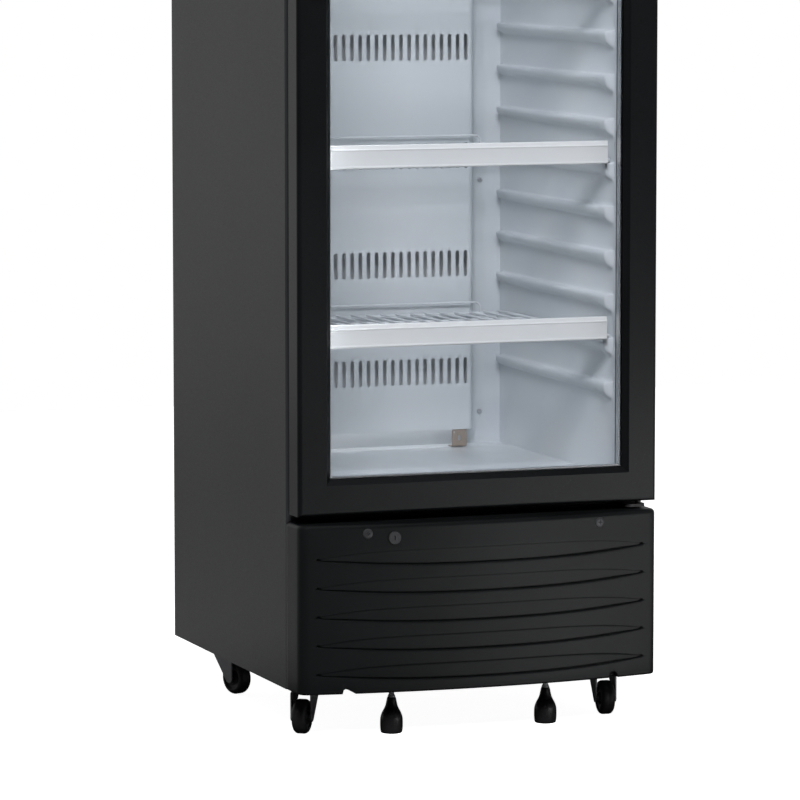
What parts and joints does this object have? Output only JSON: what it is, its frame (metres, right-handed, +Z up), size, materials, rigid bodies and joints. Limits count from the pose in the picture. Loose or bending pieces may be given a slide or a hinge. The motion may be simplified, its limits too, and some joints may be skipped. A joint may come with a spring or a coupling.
{
  "type": "refrigerated glass door merchandiser",
  "caption": "Upright refrigerated display cabinet with a hinged glazed door, lit white interior, wire shelves, a bowed louvred grille and swivel casters.",
  "frame": {"origin": "on the floor, under the middle of the whole object", "axes": "+X to the right as seen from the front, +Y to the back, +Z up"},
  "size_m": [0.55, 0.614, 1.83],
  "materials": {
    "black_sheet": "satin powder coat",
    "galvanised_sheet": "galvanised",
    "foam": "rigid foam",
    "white_liner": "smooth moulded",
    "dark_plastic": "fine grain",
    "door_profile": "satin black extrusion",
    "clear_glass": "polished",
    "spacer_bar": "satin",
    "gasket_rubber": "soft matt",
    "white_duct": "satin white",
    "bracket_tan": "satin",
    "white_wire": "plastic-coated wire",
    "ticket_strip": "smooth",
    "lamp_body": "smooth",
    "lamp_lens": "frosted",
    "sign_white": "translucent",
    "hinge_steel": "satin",
    "bright_screws": "zinc plated",
    "lock_metal": "nickel plated",
    "compressor_black": "gloss enamel",
    "coil_aluminium": "bare fins",
    "fan_plastic": "moulded",
    "fan_metal": "pressed",
    "pan_plastic": "moulded",
    "box_plastic": "moulded",
    "gland_rubber": "soft",
    "caster_zinc": "zinc plated",
    "wheel_rubber": "smooth tread",
    "foot_plastic": "moulded"
  },
  "bodies": {
    "cabinet": {"side_panel_left": "black_sheet", "side_panel_right": "black_sheet", "back_panel": "galvanised_sheet", "top_panel": "black_sheet", "base_frame": "galvanised_sheet", "insulation": "foam", "liner_side_left": "white_liner", "liner_side_right": "white_liner", "liner_rear": "white_liner", "liner_floor": "white_liner", "liner_ceiling": "white_liner", "throat_frame": "dark_plastic", "air_duct_panel": "white_duct", "duct_brackets": "bracket_tan", "evaporator_coil": "coil_aluminium", "evaporator_fan_frame": "fan_plastic", "shelf_1": "white_wire", "shelf_2": "white_wire", "shelf_3": "white_wire", "shelf_4": "white_wire", "price_strips": "ticket_strip", "lamp_housings": "lamp_body", "lamp_diffusers": "lamp_lens", "header_frame": "dark_plastic", "sign_panel": "sign_white", "hinge_brackets": "hinge_steel", "grille": "dark_plastic", "panel_screws": "bright_screws", "lock_barrel": "lock_metal", "compressor": "compressor_black", "condenser_coil": "coil_aluminium", "condenser_fan_shroud": "galvanised_sheet", "drain_pan": "pan_plastic", "control_box": "box_plastic", "rear_cover": "galvanised_sheet", "cord_inlet": "gland_rubber", "caster_plates": "caster_zinc", "caster_bolts": "bright_screws"},
    "door": {"door_stile_left": "door_profile", "door_stile_right": "door_profile", "door_rail_top": "door_profile", "door_rail_bottom": "door_profile", "glass_panes": "clear_glass", "glass_spacer": "spacer_bar", "door_gasket": "gasket_rubber", "door_handle": "door_profile"},
    "lock": {"lock_plug": "lock_metal", "lock_cam": "lock_metal"},
    "evaporator_fan": {"evaporator_fan_blades": "fan_plastic"},
    "condenser_fan": {"condenser_fan_blades": "fan_metal"},
    "fork_front_left": {"caster_fork_front_left": "caster_zinc"},
    "wheel_front_left": {"caster_wheel_front_left": "wheel_rubber"},
    "fork_front_right": {"caster_fork_front_right": "caster_zinc"},
    "wheel_front_right": {"caster_wheel_front_right": "wheel_rubber"},
    "fork_rear_left": {"caster_fork_rear_left": "caster_zinc"},
    "wheel_rear_left": {"caster_wheel_rear_left": "wheel_rubber"},
    "fork_rear_right": {"caster_fork_rear_right": "caster_zinc"},
    "wheel_rear_right": {"caster_wheel_rear_right": "wheel_rubber"},
    "foot_left": {"levelling_foot_left": "foot_plastic"},
    "foot_right": {"levelling_foot_right": "foot_plastic"}
  },
  "joints": [
    {"name": "door_hinge", "type": "hinge", "parent": "cabinet", "child": "door", "pos_m": [0.255, -0.254, 0], "axis": [0, 0, 1], "range_deg": [0, 120]},
    {"name": "lock_turn", "type": "hinge", "parent": "cabinet", "child": "lock", "pos_m": [-0.139, -0.29715, 0.292], "axis": [0, -1, 0], "range_deg": [0, 90]},
    {"name": "evaporator_fan_spin", "type": "hinge", "parent": "cabinet", "child": "evaporator_fan", "pos_m": [0, 0.2194, 1.534], "axis": [0, 1, 0], "continuous": true},
    {"name": "condenser_fan_spin", "type": "hinge", "parent": "cabinet", "child": "condenser_fan", "pos_m": [0, -0.143, 0.1685], "axis": [0, 1, 0], "continuous": true},
    {"name": "swivel_front_left", "type": "hinge", "parent": "cabinet", "child": "fork_front_left", "pos_m": [-0.231, -0.178, 0], "axis": [0, 0, 1], "continuous": true},
    {"name": "wheel_spin_front_left", "type": "hinge", "parent": "fork_front_left", "child": "wheel_front_left", "pos_m": [-0.24247, -0.19438, 0.025], "axis": [0.8192, -0.5736, 0], "continuous": true},
    {"name": "swivel_front_right", "type": "hinge", "parent": "cabinet", "child": "fork_front_right", "pos_m": [0.231, -0.178, 0], "axis": [0, 0, 1], "continuous": true},
    {"name": "wheel_spin_front_right", "type": "hinge", "parent": "fork_front_right", "child": "wheel_front_right", "pos_m": [0.22822, -0.19781, 0.025], "axis": [0.9903, -0.1392, 0], "continuous": true},
    {"name": "swivel_rear_left", "type": "hinge", "parent": "cabinet", "child": "fork_rear_left", "pos_m": [-0.231, 0.177, 0], "axis": [0, 0, 1], "continuous": true},
    {"name": "wheel_spin_rear_left", "type": "hinge", "parent": "fork_rear_left", "child": "wheel_rear_left", "pos_m": [-0.22416, 0.15821, 0.025], "axis": [0.9397, 0.342, 0], "continuous": true},
    {"name": "swivel_rear_right", "type": "hinge", "parent": "cabinet", "child": "fork_rear_right", "pos_m": [0.231, 0.177, 0], "axis": [0, 0, 1], "continuous": true},
    {"name": "wheel_spin_rear_right", "type": "hinge", "parent": "fork_rear_right", "child": "wheel_rear_right", "pos_m": [0.22616, 0.15759, 0.025], "axis": [0.9703, -0.2419, 0], "continuous": true},
    {"name": "foot_left_adjust", "type": "slide", "parent": "cabinet", "child": "foot_left", "axis": [0, 0, 1], "range_m": [0, 0.012]},
    {"name": "foot_right_adjust", "type": "slide", "parent": "cabinet", "child": "foot_right", "axis": [0, 0, 1], "range_m": [0, 0.012]}
  ]
}
